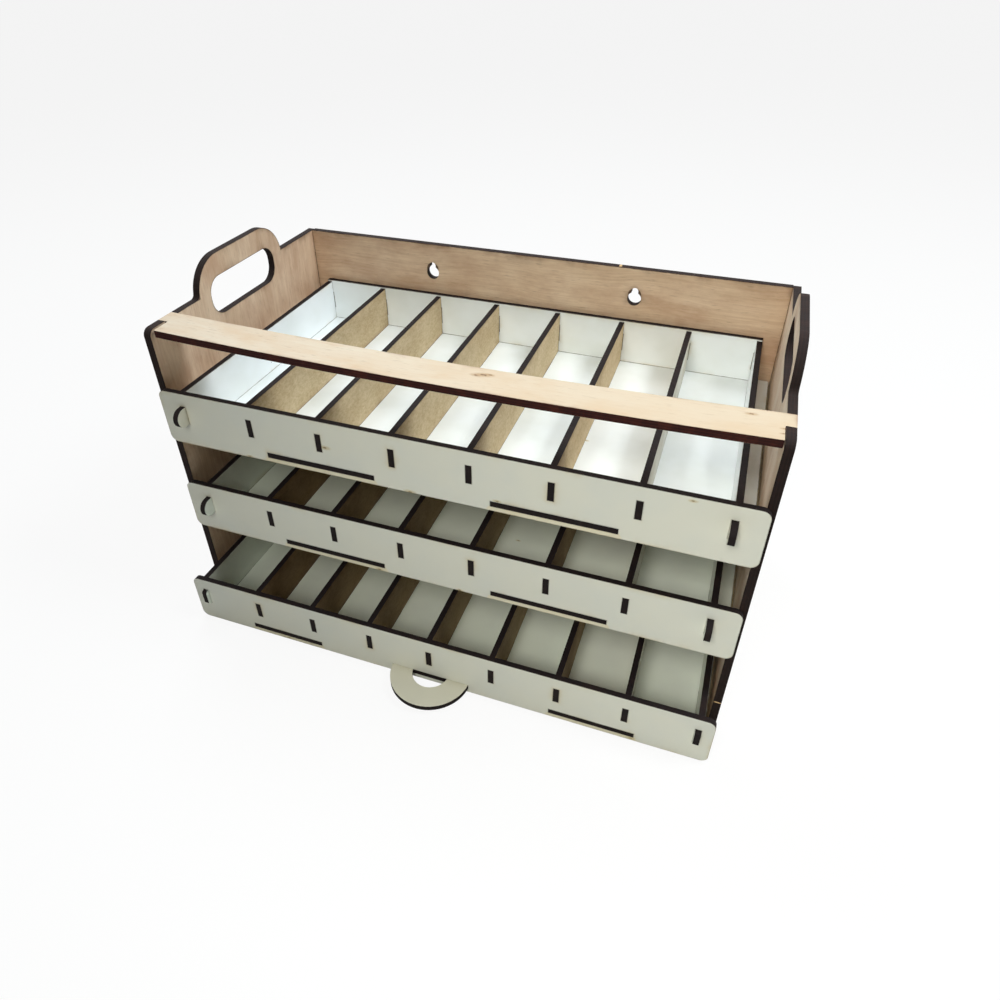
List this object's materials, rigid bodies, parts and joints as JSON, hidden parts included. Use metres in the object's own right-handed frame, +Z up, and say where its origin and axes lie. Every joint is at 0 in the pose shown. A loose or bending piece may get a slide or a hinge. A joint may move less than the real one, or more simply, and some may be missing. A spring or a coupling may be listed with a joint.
{
  "type": "hobby workstation organizer",
  "caption": "Laser-cut flat-pack stand with carry handles, front crossbar and sliding divided trays for paint jars and small tins.",
  "frame": {"origin": "on the table under the stand, midway between the side panels and midway along their depth", "axes": "+X to the right seen from the front, +Y to the back (the trays pull out along -Y), +Z up"},
  "size_m": [0.303, 0.1998, 0.2],
  "materials": {
    "plywood": "unfinished birch plywood, laser-cut, edges burnt dark",
    "pale_plywood": "unfinished pale plywood, laser-cut, edges burnt red-brown",
    "white_faced_fibreboard": "fibreboard with one satin white face and one raw brown face, laser-cut, edges burnt black",
    "brown_fibreboard": "raw brown fibreboard, laser-cut, edges burnt black"
  },
  "bodies": {
    "frame": {"back_panel": "plywood", "base_plate": "brown_fibreboard", "front_crossbar": "pale_plywood", "left_side_panel": "plywood", "middle_left_runner": "brown_fibreboard", "middle_right_runner": "brown_fibreboard", "right_side_panel": "plywood", "top_left_runner": "brown_fibreboard", "top_right_runner": "brown_fibreboard"},
    "top_tray": {"top_back_wall": "white_faced_fibreboard", "top_divider_1": "white_faced_fibreboard", "top_divider_2": "white_faced_fibreboard", "top_divider_3": "white_faced_fibreboard", "top_divider_4": "white_faced_fibreboard", "top_divider_5": "white_faced_fibreboard", "top_divider_6": "white_faced_fibreboard", "top_floor": "white_faced_fibreboard", "top_front_panel": "white_faced_fibreboard", "top_left_end_wall": "white_faced_fibreboard", "top_right_end_wall": "white_faced_fibreboard"},
    "middle_tray": {"middle_back_wall": "white_faced_fibreboard", "middle_divider_1": "white_faced_fibreboard", "middle_divider_2": "white_faced_fibreboard", "middle_divider_3": "white_faced_fibreboard", "middle_divider_4": "white_faced_fibreboard", "middle_divider_5": "white_faced_fibreboard", "middle_divider_6": "white_faced_fibreboard", "middle_floor": "white_faced_fibreboard", "middle_front_panel": "white_faced_fibreboard", "middle_left_end_wall": "white_faced_fibreboard", "middle_right_end_wall": "white_faced_fibreboard"},
    "bottom_tray": {"bottom_back_wall": "white_faced_fibreboard", "bottom_divider_1": "white_faced_fibreboard", "bottom_divider_2": "white_faced_fibreboard", "bottom_divider_3": "white_faced_fibreboard", "bottom_divider_4": "white_faced_fibreboard", "bottom_divider_5": "white_faced_fibreboard", "bottom_divider_6": "white_faced_fibreboard", "bottom_divider_7": "white_faced_fibreboard", "bottom_floor": "white_faced_fibreboard", "bottom_front_panel": "white_faced_fibreboard", "bottom_left_end_wall": "white_faced_fibreboard", "bottom_right_end_wall": "white_faced_fibreboard"}
  },
  "joints": [
    {"name": "top_tray_slide", "type": "slide", "parent": "frame", "child": "top_tray", "axis": [0, -1, 0], "range_m": [0, 0.075]},
    {"name": "middle_tray_slide", "type": "slide", "parent": "frame", "child": "middle_tray", "axis": [0, -1, 0], "range_m": [0, 0.075]},
    {"name": "bottom_tray_slide", "type": "slide", "parent": "frame", "child": "bottom_tray", "axis": [0, -1, 0], "range_m": [-0.0165, 0.0585]}
  ]
}
